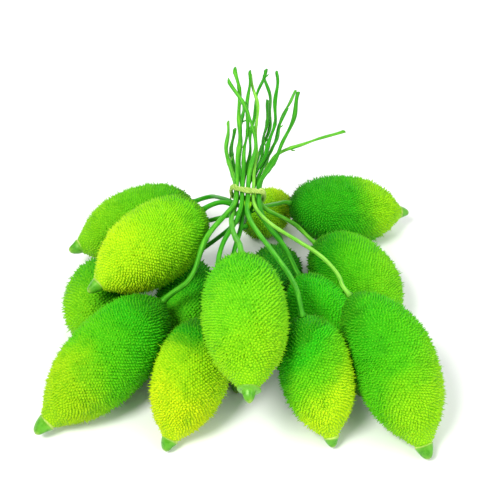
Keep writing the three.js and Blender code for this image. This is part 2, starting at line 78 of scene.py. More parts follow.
STEMS = {
    "01": (1.30, [(-31.03, 56.26, 27.13), (-28.14, 57.46, 27.82), (-23.37, 57.48, 29.68), (-20.14, 55.86, 31.7), (-18.06, 53.02, 33.98), (-16.47, 49.4, 36.6), (-13.27, 40.93, 42.58), (-11.35, 36.4, 45.59), (-9.23, 31.85, 48.35), (-6.98, 27.43, 50.68), (-2.75, 20.02, 54), (-1.34, 18.03, 55.42), (-0.69, 18.38, 57.08), (-0.53, 25.87, 60.41), (-1.77, 37.76, 63.56), (-2.05, 46.65, 65.4), (-1.69, 65.43, 68.92), (-0.5, 93.91, 73.81)]),
    "02": (1.35, [(-22.75, 11.44, 57.44), (-20.33, 13.43, 58.07), (-15.55, 16.23, 58.5), (-11.87, 17.48, 58.3), (-9.09, 17.55, 57.7), (-6.83, 17.19, 57.01), (-5.04, 17.16, 56.62), (-3.89, 18.44, 57.1), (-3.73, 25.93, 60.44), (-5.76, 37.75, 63.8), (-6.56, 46.44, 66.05), (-6.62, 55.45, 68.32), (-5.91, 69.11, 71.69)]),
    "03": (1.20, [(-78.24, 7.94, 19.61), (-77.82, 11.1, 19.9), (-73.3, 14.03, 22.06), (-68.69, 15.06, 24.05), (-64.57, 15.79, 25.62), (-53.61, 17.19, 29.61), (-42.97, 18.16, 34.1), (-31.64, 18.4, 39.39), (-23.72, 17.8, 43.21), (-11.82, 15.73, 48.92), (-7.94, 15.16, 50.6), (-4.28, 14.9, 52.16), (-1.07, 15.16, 53.68), (1.34, 16.17, 55.27), (2.4, 18.32, 57.05), (2.57, 25.81, 60.39), (2.9, 29.58, 61.6), (4.53, 37.64, 63.44), (12.88, 63.86, 68.18), (14.96, 72.78, 69.94), (16.24, 81.73, 71.72), (16.51, 86.21, 72.61), (16.26, 95.17, 74.37), (15.24, 104.1, 76.09), (13.04, 117.46, 78.61)]),
    "04": (1.45, [(-42.05, -42.76, 39.85), (-39.91, -40.69, 41.03), (-36.53, -38.13, 42.25), (-30.88, -34.28, 44.15), (-28.65, -32.38, 45.43), (-26.84, -30.26, 47.09), (-25.42, -27.91, 49.08), (-24.31, -25.37, 51.27), (-22.31, -19.89, 55.67), (-21.08, -16.99, 57.61), (-19.52, -13.97, 59.22), (-17.63, -10.78, 60.43), (-15.47, -7.4, 61.26), (-10.69, -0.06, 62.22), (-8.36, 3.86, 62.45), (-6.26, 7.85, 62.45), (-4.67, 11.84, 62.49), (-3.89, 15.79, 63.04), (-3.73, 23.28, 66.38), (-3.31, 29.89, 69.81), (-2.92, 37.02, 74.16), (-2.03, 59.53, 89.23), (-2.74, 70.67, 96.63), (-4.5, 81.82, 103.87)]),
    "05": (1.25, [(-30.13, 10.23, 18.43), (-29.91, 13.41, 18.68), (-27.81, 16.19, 19.98), (-24.89, 17.7, 22.04), (-21.63, 18.12, 24.8), (-18.31, 17.75, 28.15), (-15.07, 16.83, 31.96), (-11.97, 15.61, 36.05), (-6.3, 13.16, 44.37), (-3.74, 12.35, 48.28), (-1.41, 12.1, 51.84), (0.55, 12.65, 54.99), (1.9, 14.25, 57.69), (2.4, 17.02, 59.98), (2.57, 24.51, 63.31), (3.88, 28.11, 65.04), (12.33, 42.89, 72), (14.01, 46.82, 73.73), (16.39, 54.96, 77.22), (17.84, 63.35, 80.71), (19.13, 76.16, 85.83), (19.8, 89.06, 90.79), (19.88, 97.66, 94.03)]),
    "06": (1.35, [(-16.72, -59.23, 44.2), (-15.74, -56.9, 46.16), (-14.99, -52.99, 48.26), (-14.72, -49.61, 49.35), (-13.91, -36.17, 51.45), (-12.87, -24.81, 53.74), (-12.27, -20.98, 54.54), (-11.43, -17.19, 55.29), (-10.29, -13.45, 55.98), (-8.86, -9.79, 56.6), (-3.81, 0.93, 58.4), (-2.5, 4.56, 59.28), (-1.53, 8.23, 60.34), (-0.9, 11.95, 61.57), (-0.59, 15.73, 63.02), (-0.43, 23.22, 66.35), (-0.06, 29.86, 69.69), (0.56, 36.75, 74.17), (2.17, 54.27, 87.46), (3.51, 78.52, 105.84)]),
    "07": (1.45, [(-0.67, -45.51, 75.29), (-0.86, -42.5, 76.37), (-1.5, -37.29, 75.5), (-2.15, -33.03, 73.51), (-3.44, -25.57, 69.18), (-4.1, -21.73, 67.4), (-5.33, -13.67, 64.55), (-6.15, -5.53, 62.26), (-6.35, -1.65, 61.21), (-6.31, 2, 60.24), (-5.97, 5.35, 59.41), (-5.5, 8.44, 59), (-4.95, 11.3, 58.9), (-4.4, 14.08, 59.16), (-3.99, 17.14, 60.03), (-3.83, 24.63, 63.36), (-4.74, 28.42, 64.94), (-7.31, 36.28, 68.25), (-9.09, 44.39, 71.65), (-9.62, 52.65, 75.05), (-9.12, 65.12, 80.07)]),
    "08": (1.25, [(-5.73, -17.64, 41.65), (-5.84, -15.07, 43.55), (-5.37, -12.28, 45.49), (-4.57, -9.42, 47.37), (-2.52, -3.53, 50.88), (-1.57, -0.46, 52.54), (-0.89, 2.73, 54.16), (-0.58, 6.07, 55.72), (-0.6, 9.57, 57.22), (-0.79, 17.08, 60), (-0.63, 24.57, 63.34), (1.87, 36.25, 68.31), (3.27, 44.42, 71.64), (4.85, 61.14, 78.04), (6.52, 73.75, 82.57), (9.01, 86.29, 86.89), (13.16, 102.87, 92.37)]),
    "09": (1.40, [(29.5, -68.89, 56.47), (28.76, -67.12, 59.03), (27.99, -64.34, 61.92), (27.52, -61.89, 63.29), (27.09, -59.37, 63.71), (25.58, -53.24, 63.57), (23.24, -45.99, 63.13), (21.8, -42.2, 62.84), (13.53, -23.01, 61.37), (8.14, -11.45, 60.8), (4.84, -3.62, 60.73), (3.56, 0.35, 60.85), (2.65, 4.29, 61.06), (2.22, 8.16, 61.42), (2.32, 11.94, 62), (2.7, 15.67, 62.99), (2.87, 23.16, 66.32), (3.09, 26.2, 68.04), (3.61, 29.14, 70.12), (6.18, 38.46, 77.93), (6.57, 41.72, 80.83), (6.46, 45.01, 83.76), (5.81, 48.29, 86.66), (4.63, 51.51, 89.48), (1.06, 57.78, 94.82), (-8.04, 69.92, 104.81)]),
    "10": (1.45, [(30.71, -17.45, 34.54), (29.32, -14.89, 35.86), (27.79, -12.05, 37.93), (26.14, -9.28, 40.34), (24.32, -6.7, 42.86), (22.28, -4.35, 45.35), (19.98, -2.21, 47.73), (15, 1.8, 52.17), (12.76, 3.96, 54.35), (10.97, 6.36, 56.55), (9.71, 9.08, 58.74), (9.01, 12.13, 60.9), (8.7, 15.56, 62.94), (8.87, 23.05, 66.27), (10.25, 26.29, 67.66), (17.18, 36.08, 72.73), (19.33, 39.53, 74.83), (23.09, 46.61, 79.3), (26.38, 53.8, 83.85), (29.16, 61.08, 88.39), (32.14, 72.22, 95.27)]),
    "11": (1.25, [(42.62, 20.34, 24.66), (40.43, 22.62, 25.17), (36.65, 25.75, 27.28), (33.73, 26.99, 29.92), (31.21, 26.57, 33.07), (28.58, 25.03, 36.66), (22.57, 20.41, 44.54), (19.3, 18.08, 48.42), (16.04, 16.18, 51.98), (13.01, 15.07, 55.11), (10.55, 15.16, 57.75), (9.1, 16.9, 59.92), (9.27, 24.39, 63.26), (9.96, 27.89, 64.96), (11.25, 31.35, 66.72), (12.96, 34.79, 68.43), (15.1, 38.15, 70.03), (17.68, 41.34, 71.46), (20.73, 44.27, 72.61), (24.26, 46.87, 73.4), (28.23, 49.12, 73.81), (45.82, 56.63, 74.13), (58.36, 62.93, 75.52)]),
    "12": (1.05, [(54.34, -53.56, 55.27), (52.36, -51.68, 56.95), (50.71, -49.36, 57.86), (50.22, -47.34, 57.95), (49.97, -45.08, 57.91), (49.28, -42.39, 58.07), (48.01, -39.36, 58.42), (46.21, -36.18, 58.84), (44.02, -32.97, 59.25), (41.55, -29.83, 59.59), (36.1, -23.84, 59.94), (18.16, -6.31, 59.68), (15.21, -3.06, 59.76), (12.41, 0.37, 59.99), (9.83, 3.98, 60.36), (7.67, 7.73, 60.93), (6.2, 11.63, 61.76), (5.7, 15.62, 62.96), (5.87, 23.11, 66.3), (6.17, 30.05, 69.02), (6.63, 37.35, 72.95), (7.54, 48.31, 80.37), (8.01, 58.96, 88.06), (7.52, 65.96, 93.07), (6.96, 69.44, 95.52), (4.52, 79.88, 102.74)]),
    "13": (1.20, [(28.46, 48.37, 32.66), (25.53, 47.8, 33.81), (23.11, 44.97, 35.91), (21.26, 40.97, 38.63), (17.78, 31.66, 45.24), (15.82, 27.05, 48.59), (13.71, 22.9, 51.53), (11.59, 19.6, 53.86), (9.71, 17.75, 55.59), (8.5, 18.21, 57), (8.67, 25.7, 60.34), (9.24, 29.47, 61.65), (11.41, 37.5, 63.88), (16.92, 54.94, 67.84), (23.96, 82.23, 73.37), (27.06, 91.16, 75.03), (32.6, 104.31, 77.36)]),
    "14": (1.10, [(1.67, 46.25, 16.3), (-0.33, 43.78, 16.62), (-1.62, 40.49, 18.82), (-2.02, 37.08, 22.19), (-1.77, 33.58, 26.35), (-1.06, 30.02, 30.99), (1.01, 23.14, 40.49), (2.12, 20.21, 44.89), (3.17, 17.95, 48.8), (4.1, 16.66, 52.14), (4.85, 16.65, 54.86), (5.4, 18.27, 57.03), (5.57, 25.76, 60.36), (6.63, 33.37, 63.02), (9.57, 45.88, 66.7), (11.26, 54.77, 69.04), (13.02, 68.62, 72.19), (15.02, 92.09, 77.11)]),
    "15": (1.15, [(22.94, 20.66, 15.38), (23.74, 23.73, 14.94), (23.64, 27.84, 16.45), (22.54, 29.82, 19.39), (20.71, 29.73, 23.43), (18.49, 28.13, 28.24), (16.11, 25.57, 33.49), (11.55, 19.53, 44.21), (9.57, 17.01, 49.17), (7.88, 15.43, 53.56), (6.53, 15.27, 57.2), (5.7, 16.96, 59.95), (5.87, 24.45, 63.28), (7.06, 28.38, 64.56), (12.61, 40.84, 68.36), (16.01, 49.29, 71.16), (25.63, 78.91, 80.8)]),
}

TIE_CENTRE = (2.6900, 20.9300, 61.5000)
BUNDLE_DIRECTION = (0.0200, 0.9134, 0.4067)
BUNDLE_SIDE = (0.9998, -0.0183, -0.0081)
BUNDLE_TOP = (0.0000, -0.4067, 0.9135)
TARGET = (3.812, 9.462, 29.5)

TIE_RADIUS = 1.3
TIE_CLEARANCE = 0.45
TIE_SLOPE = -0.14
TIP_SHARE = 0.09
BEND_REACH, BEND_POWER = 0.38, 1.6
PROFILE = [(0, 0.10), (0.02, 0.30), (0.05, 0.47), (0.1, 0.66), (0.17, 0.82), (0.27, 0.94), (0.38, 0.995), (0.5, 1.0),
           (0.6, 0.97), (0.7, 0.89), (0.8, 0.74), (0.87, 0.58), (0.93, 0.41), (0.97, 0.29), (1, 0.22)]
SPINE_PITCH = 1.55   # distance between spines on the skin
HIDDEN_PITCH = {"03": 1.68, "05": 1.72, "08": 1.8, "10": 1.66, "14": 1.5, "15": 1.8}
SPINE_HEIGHT = 1.95
LOWEST = 0.02        # spines on the underside are pressed flat just above the surface

# Skin colours along each fruit, stem end to blossom end (8-bit sRGB), the direction that is yellower, and by how much.
# The deep greens at the stem ends are partly the skin's own colour and partly painted shade where the fruits crowd in
# to the tie.
SKIN = {
    "01": ((86, 188, 30), (106, 198, 30), (132, 204, 30), (-0.6, -0.4, 0.3), 0.10, "skin_green"),
    "02": ((104, 200, 28), (150, 218, 30), (188, 228, 32), (-0.5, -0.6, 0.4), 0.22, "skin_yellow_green"),
    "03": ((48, 158, 26), (78, 180, 28), (126, 202, 30), (-0.9, 0.0, 0.2), 0.25, "skin_yellow_green"),
    "04": ((50, 184, 24), (88, 195, 25), (166, 210, 28), (-0.7, -0.4, 0.0), 0.16, "skin_green"),
    "05": ((34, 166, 30), (50, 180, 34), (90, 196, 34), (-0.5, -0.5, 0.2), 0.1, "skin_green"),
    "06": ((40, 160, 20), (166, 218, 26), (204, 226, 28), (-0.2, -0.8, 0.1), 0.22, "skin_yellow_green"),
    "07": ((82, 194, 32), (124, 212, 34), (148, 214, 28), (0.3, -0.5, 0.3), 0.10, "skin_green"),
    # 08 is given deep greens as painted shade, lying low under 07.
    "08": ((24, 140, 34), (30, 150, 50), (34, 130, 60), (0.0, -0.5, 0.2), 0.05, "skin_green"),
    "09": ((48, 190, 28), (108, 204, 28), (196, 236, 34), (0.75, -0.5, -0.2), 0.34, "skin_yellow_green"),
    "10": ((44, 190, 30), (62, 206, 30), (92, 208, 34), (-0.4, -0.6, 0.5), 0.14, "skin_green"),
    "11": ((30, 160, 24), (84, 196, 28), (116, 204, 32), (0.8, 0.1, 0.4), 0.18, "skin_green"),
    "12": ((64, 190, 30), (86, 198, 28), (156, 220, 32), (0.6, -0.4, 0.1), 0.22, "skin_yellow_green"),
    "13": ((30, 162, 28), (48, 178, 30), (156, 222, 28), (0.3, -0.3, 0.7), 0.14, "skin_green"),
    "14": ((138, 216, 34), (178, 238, 40), (206, 246, 42), (0.5, 0.2, 0.5), 0.2, "skin_yellow_green"),
    # 15 is given deep greens as painted shade, deep inside the heap.
    "15": ((16, 120, 26), (24, 136, 30), (34, 130, 40), (0.0, 0.0, 1.0), 0.05, "skin_green"),
}


def linear(rgb, k=1.0):
    out = []
    for v in rgb:
        v = v / 255.0
        out.append(k * (v / 12.92 if v <= 0.04045 else ((v + 0.055) / 1.055) ** 2.4))
    return tuple(min(0.95, c) for c in out) + (1.0,)


# -------------------------------------------------------------------- helpers
def make_object(name, verts, faces, attributes=None, smooth=True):
    """verts in millimetres; faces as lists of vertex numbers."""
    mesh = bpy.data.meshes.new(name)
    mesh.from_pydata((np.asarray(verts, float) * MM).tolist(), [], faces)
    mesh.update()
    mesh.validate()
    if smooth:
        mesh.polygons.foreach_set("use_smooth", np.ones(len(mesh.polygons), bool))
    for key, values in (attributes or {}).items():
        values = np.asarray(values, float)
        if values.ndim == 1:
            mesh.attributes.new(key, "FLOAT", "POINT").data.foreach_set("value", values)
        else:
            mesh.attributes.new(key, "FLOAT_VECTOR", "POINT").data.foreach_set("vector", values.ravel())
    obj = bpy.data.objects.new(name, mesh)
    bpy.context.scene.collection.objects.link(obj)
    return obj


def smooth_table(table, n=401, width=9):
    x = np.linspace(0, 1, n)
    y = np.interp(x, [a for a, _ in table], [b for _, b in table])
    kernel = np.hanning(2 * width + 1)
    kernel /= kernel.sum()
    ext = np.concatenate([2 * y[0] - y[1:width + 1][::-1], y, 2 * y[-1] - y[-width - 1:-1][::-1]])
    s = np.convolve(ext, kernel, "valid")
    keep = np.clip(x / 0.06, 0, 1) * np.clip((1 - x) / 0.05, 0, 1)
    return x, y * (1 - keep) + s * keep


PX, PY = smooth_table(PROFILE)


def axis_at(fruit, s):
    """Centre line of a fruit's body; s from 0 at the stem end to 1 at the neck, and on to the tip."""
    a, b, lean, _ = (np.array(v, float) for v in fruit)
    t = np.asarray(s, float) * (1 - TIP_SHARE)
    k = np.maximum(0, (BEND_REACH - t) / BEND_REACH) ** BEND_POWER
    return a + (b - a) * t[..., None] + lean * k[..., None]


def unit(v):
    return v / np.linalg.norm(v, axis=-1, keepdims=True)


def waves(p, seed, scale):
    """Slow smooth variation over space, from -1 to 1, the same each run."""
    rng = np.random.default_rng(seed)
    total = np.zeros(p.shape[:-1])
    for _ in range(6):
        d = rng.normal(size=3)
        d = d / np.linalg.norm(d) * scale * rng.uniform(0.6, 1.6)
        total += np.sin(p @ d + rng.uniform(0, 6.28))
    return total / 6 * 1.6


# --------------------------------------------------------------- spiny fruits
def triangulate(u, theta):
    """Delaunay triangles of points on a cylinder of circumference 2 pi, turned the same way round."""
    n = len(u)
    tau = 2 * math.pi
    cu = np.concatenate([u, u, u])
    ct = np.concatenate([theta, theta - tau, theta + tau])
    which = np.tile(np.arange(n), 3)
    keep = (ct > -2.4) & (ct < tau + 2.4)
    cu, ct, which = cu[keep], ct[keep], which[keep]
    out = geometry.delaunay_2d_cdt([Vector((a, b)) for a, b in zip(cu.tolist(), ct.tolist())], [], [], 0, 1e-7)
    verts, faces, origin = out[0], out[2], out[3]
    index = np.array([o[0] if o else -1 for o in origin])
    tri = index[np.array([f for f in faces if len(f) == 3])]
    tri = tri[(tri >= 0).all(axis=1)]
    x, y = cu[tri], ct[tri]
    area = (x[:, 1] - x[:, 0]) * (y[:, 2] - y[:, 0]) - (x[:, 2] - x[:, 0]) * (y[:, 1] - y[:, 0])
    flip = area < 0
    tri[flip] = tri[flip][:, ::-1]
    y = ct[tri]
    centre = y.mean(axis=1)
    own = (centre >= 0) & (centre < tau)
    tri = tri[own]
    return which[tri], cu[tri], ct[tri]


def spiny_fruit(number, fruit):
    seed = int(number)
    rng = np.random.default_rng(1000 + seed)
    radius = fruit[3]
    pitch = HIDDEN_PITCH.get(number, SPINE_PITCH)
    s = PX
    centre = axis_at(fruit, s)
    tangent = unit(np.gradient(centre, axis=0))
    down = np.array([0.0, 0.0, -1.0])
    side = unit(down - tangent * (tangent @ down)[:, None])
    across = np.cross(tangent, side)
    height = SPINE_HEIGHT * np.clip(0.40 + s / 0.12, 0, 1) * np.clip(0.22 + (1 - s) / 0.20, 0, 1)
    r = radius * PY - 0.80 * height
    r[-1] = max(r[-1], 0.2 * radius)
    step = np.linalg.norm(np.gradient(centre, axis=0), axis=1)
    slope = np.gradient(r)
    meridian = np.sqrt(step**2 + slope**2)
    area = np.concatenate([[0], np.cumsum(0.5 * (r[1:] * meridian[1:] + r[:-1] * meridian[:-1]) * 2 * math.pi)])
    conform = meridian / r
    u_of_s = np.concatenate([[0], np.cumsum(0.5 * (conform[1:] + conform[:-1]))])
    count = int(area[-1] / (0.866 * pitch**2))
    k = np.arange(count)
    share = (k + 0.5) / count * area[-1]
    ps = np.interp(share, area, s)
    theta = (k * math.pi * (3 - math.sqrt(5)) + seed) % (2 * math.pi)
    pr = np.interp(ps, s, r)
    pu = np.interp(ps, s, u_of_s) + rng.normal(size=count) * 0.13 * pitch / pr
    theta = (theta + rng.normal(size=count) * 0.13 * pitch / pr) % (2 * math.pi)
    total = u_of_s[-1]
    clear = (pu > 0.45 * pitch / r[0]) & (pu < total - 0.45 * pitch / r[-1])
    pu, theta = pu[clear], theta[clear]
    n0, n1 = 9, 17
    edge0 = np.arange(n0) * 2 * math.pi / n0 + 0.013
    edge1 = np.arange(n1) * 2 * math.pi / n1 + 0.017
    first = len(pu)
    u_all = np.concatenate([pu, np.zeros(n0), np.full(n1, total)])
    t_all = np.concatenate([theta, edge0, edge1])
    tri, tu, tt = triangulate(u_all, t_all)
    m = len(tri)
    n = len(u_all)
    centre_u = tu.mean(axis=1)
    centre_t = tt.mean(axis=1)
    mid_u = tu * 0.56 + centre_u[:, None] * 0.44
    mid_t = tt * 0.56 + centre_t[:, None] * 0.44
    uu = np.concatenate([u_all, centre_u, mid_u.ravel()])
    th = np.concatenate([t_all, centre_t, mid_t.ravel()])
    ss = np.interp(uu, u_of_s, s)
    tall = np.interp(ss[:n], s, height) * np.clip(1 + 0.20 * rng.normal(size=n), 0.5, 1.4)
    tall[first:] = 0.0
    rise = np.zeros(len(uu))
    rise[:n] = tall
    rise[n + m:] = 0.30 * tall[tri].ravel()
    spine = np.zeros(len(uu))
    spine[:n] = 1.0
    spine[first:n] = 0.3
    spine[n + m:] = 0.45

    def at(values):
        return np.stack([np.interp(ss, s, values[:, i]) for i in range(3)], axis=1)

    c, e1, e2, tg = at(centre), at(side), at(across), unit(at(tangent))
    radial = e1 * np.cos(th)[:, None] + e2 * np.sin(th)[:, None]
    rr = np.interp(ss, s, r)
    pos = c + radial * rr[:, None]
    # Slow swellings and faint long ridges keep the body from being a turned shape.
    swell = 0.016 * waves(pos, 50 + seed, 0.09) + 0.008 * np.cos(5 * th + seed) * np.sin(math.pi * ss)
    fade = np.clip(ss / 0.1, 0, 1) * np.clip((1 - ss) / 0.08, 0, 1)
    pos = c + radial * (rr * (1 + swell * fade))[:, None]
    grade = np.interp(ss, s, np.gradient(r) / np.maximum(step, 1e-6))
    normal = unit(radial - tg * grade[:, None])
    pos = pos + normal * rise[:, None]
    # A few spines lean a little.
    lean = rng.normal(size=(n, 3)) * 0.20
    pos[:n] += lean * tall[:, None]
    pos[:, 2] = np.maximum(pos[:, 2], LOWEST)

    a = tri.ravel()
    b = np.roll(tri, -1, axis=1).ravel()
    owner = np.repeat(np.arange(m), 3)
    corner = np.tile(np.arange(3), m)
    key = a.astype(np.int64) * n + b
    back = b.astype(np.int64) * n + a
    order = np.argsort(key)
    found = np.searchsorted(key[order], back)
    found = np.minimum(found, len(key) - 1)
    twin = order[found]
    has = key[twin] == back
    # corner number of vertex a in the twin triangle: the twin half-edge runs b to a, so a is its next corner
    twin_corner = (corner[twin] + 1) % 3
    mid_own = n + m + 3 * owner + corner
    mid_twin = n + m + 3 * owner[twin] + twin_corner
    faces = []
    h = np.where(has)[0]
    tri_faces = np.stack([a[h], mid_twin[h], mid_own[h]], axis=1)
    quad_faces = np.stack([mid_twin[h], n + owner[twin][h], n + owner[h], mid_own[h]], axis=1)
    faces += tri_faces.tolist()
    faces += quad_faces.tolist()
    loose = np.where(~has)[0]
    for i in loose:
        t = owner[i]
        ca, cb = corner[i], (corner[i] + 1) % 3
        faces.append([int(a[i]), int(b[i]), int(n + m + 3 * t + cb), int(n + t), int(n + m + 3 * t + ca)])
    # caps
    nxt = {int(a[i]): int(b[i]) for i in loose}
    seen = set()
    for startv in list(nxt):
        if startv in seen:
            continue
        chain = [startv]
        seen.add(startv)
        v = nxt[startv]
        while v != startv and v in nxt and v not in seen:
            chain.append(v)
            seen.add(v)
            v = nxt[v]
        faces.append(chain[::-1])
    # outward?
    q = pos[tri_faces]
    mid = c[tri_faces[:, 0]]
    facing = np.einsum("ij,ij->i", np.cross(q[:, 1] - q[:, 0], q[:, 2] - q[:, 0]), q[:, 0] - mid)
    if facing.mean() < 0:
        faces = [f[::-1] for f in faces]
    toward = unit(np.array(SKIN[number][3], float))
    tone = ss + SKIN[number][4] * (normal @ toward) * 1.2 + 0.07 * waves(pos, 90 + seed, 0.16)
    obj = make_object("skin_" + number, pos, faces, {"along": ss, "spine": spine, "tone": tone, "grow": radial})
    return obj, len(loose)


# -------------------------------------------------------------------- tubes
def catmull(points, step, closed=False):
    p = np.asarray(points, float)
    if closed:
        ext = np.concatenate([p[-1:], p, p[:2]])
        spans = len(p)
    else:
        ext = np.concatenate([2 * p[:1] - p[1:2], p, 2 * p[-1:] - p[-2:-1]])
        spans = len(p) - 1
    out = []
    for i in range(spans):
        p0, p1, p2, p3 = ext[i:i + 4]
        d = max(np.linalg.norm(p2 - p1), 1e-6)
        m1 = (p2 - p0) / max(np.linalg.norm(p2 - p0), 1e-6) * d
        m2 = (p3 - p1) / max(np.linalg.norm(p3 - p1), 1e-6) * d
        k = max(1, int(round(d / step)))
        t = (np.arange(k) / k)[:, None]
        out.append((2 * t**3 - 3 * t**2 + 1) * p1 + (t**3 - 2 * t**2 + t) * m1 + (3 * t**2 - 2 * t**3) * p2 + (t**3 - t**2) * m2)
    if not closed:
        out.append(p[-1:])
    return np.concatenate(out)


def frames(path, closed=False):
    if closed:
        tg = unit(np.roll(path, -1, axis=0) - np.roll(path, 1, axis=0))
    else:
        tg = unit(np.gradient(path, axis=0))
    start = np.array([0.0, 0.0, 1.0]) if abs(tg[0][2]) < 0.9 else np.array([1.0, 0.0, 0.0])
    e1 = np.zeros_like(path)
    for i in range(len(path)):
        start = start - tg[i] * (start @ tg[i])
        start = start / np.linalg.norm(start)
        e1[i] = start
    return tg, e1, np.cross(tg, e1)


def ring_tube(path, radii, sides, ridges=None, closed=False, dome=0.35, slant=0.0):
    """A closed tube: vertices, faces, and per-vertex distance, angle and end-cap share."""
    tg, e1, e2 = frames(path, closed)
    n = len(path)
    phi = np.arange(sides) * 2 * math.pi / sides
    dist = np.concatenate([[0], np.cumsum(np.linalg.norm(np.diff(path, axis=0), axis=1))])
    rr = radii[:, None] * (1 + (ridges(dist[:, None], phi[None]) if ridges else 0))
    pos = path[:, None] + e1[:, None] * (np.cos(phi)[None, :, None] * rr[..., None]) + e2[:, None] * (np.sin(phi)[None, :, None] * rr[..., None])
    if slant:
        pos[-1] += tg[-1] * (slant * radii[-1] * np.cos(phi - 1.0))[:, None]
    verts = pos.reshape(-1, 3)
    d = np.repeat(dist, sides)
    f = np.tile(phi, n)
    cut = np.zeros(len(verts))
    faces = []
    last = n if closed else n - 1
    for i in range(last):
        j = (i + 1) % n
        for k in range(sides):
            l = (k + 1) % sides
            faces.append([i * sides + k, i * sides + l, j * sides + l, j * sides + k])
    if not closed:
        extra, ed, ef, ec = [], [], [], []
        base = len(verts)
        for end, sign in ((0, -1), (n - 1, 1)):
            inner = base + len(extra)
            for k in range(sides):
                extra.append(path[end] + (pos[end, k] - path[end]) * 0.62 + tg[end] * sign * radii[end] * dome * 0.6)
                ed.append(dist[end]); ef.append(phi[k]); ec.append(1.0)
            tip = base + len(extra)
            extra.append(path[end] + tg[end] * sign * radii[end] * dome * 0.45)
            ed.append(dist[end]); ef.append(0.0); ec.append(1.0)
            for k in range(sides):
                l = (k + 1) % sides
                o0, o1 = end * sides + k, end * sides + l
                i0, i1 = inner + k, inner + l
                if sign > 0:
                    faces.append([o0, o1, i1, i0]); faces.append([i0, i1, tip])
                else:
                    faces.append([o1, o0, i0, i1]); faces.append([i1, i0, tip])
        verts = np.concatenate([verts, np.array(extra)])
        d = np.concatenate([d, ed]); f = np.concatenate([f, ef]); cut = np.concatenate([cut, ec])
    return verts, faces, d, f, cut


def join_parts(parts):
    verts, faces, at, base = [], [], {}, 0
    for v, f, attrs in parts:
        verts.append(v)
        faces += [[i + base for i in q] for q in f]
        for key, value in attrs.items():
            at.setdefault(key, []).append(value)
        base += len(v)
    return np.concatenate(verts), faces, {k: np.concatenate(x) for k, x in at.items()}


def outward(verts, faces):
    """Turns all faces round if the shape is inside out."""
    v = np.asarray(verts)
    vol = 0.0
    for f in faces:
        for i in range(1, len(f) - 1):
            vol += float(np.dot(v[f[0]], np.cross(v[f[i]], v[f[i + 1]])))
    return faces if vol > 0 else [f[::-1] for f in faces]


# ------------------------------------------------------------------ materials
def material(name):
    m = bpy.data.materials.new(name)
    m.use_nodes = True
    t = m.node_tree
    t.nodes.clear()
    out = t.nodes.new("ShaderNodeOutputMaterial")
    bsdf = t.nodes.new("ShaderNodeBsdfPrincipled")
    t.links.new(bsdf.outputs[0], out.inputs[0])
    return m, t, bsdf


def node(t, kind, **inputs):
    n = t.nodes.new(kind)
    for key, value in inputs.items():
        n.inputs[key.replace("_", " ")].default_value = value
    return n


def attribute(t, name):
    n = t.nodes.new("ShaderNodeAttribute")
    n.attribute_name = name
    return n


def ramp(t, stops, source):
    n = t.nodes.new("ShaderNodeValToRGB")
    n.color_ramp.interpolation = "EASE"
    els = n.color_ramp.elements
    while len(els) < len(stops):
        els.new(0.5)
    for e, (p, c) in zip(els, stops):
        e.position = p
        e.color = c
    t.links.new(source, n.inputs[0])
    return n


def mix(t, kind, fac, a, b):
    n = t.nodes.new("ShaderNodeMix")
    n.data_type = "RGBA"
    n.blend_type = kind
    for socket, value in ((n.inputs[0], fac), (n.inputs[6], a), (n.inputs[7], b)):
        if hasattr(value, "is_linked"):
            t.links.new(value, socket)
        else:
            socket.default_value = value
    return n.outputs[2]


def math_node(t, op, a, b=0.5, clamp=False):
    n = t.nodes.new("ShaderNodeMath")
    n.operation = op
    n.use_clamp = clamp
    for socket, value in ((n.inputs[0], a), (n.inputs[1], b)):
        if hasattr(value, "is_linked"):
            t.links.new(value, socket)
        else:
            socket.default_value = value
    return n.outputs[0]


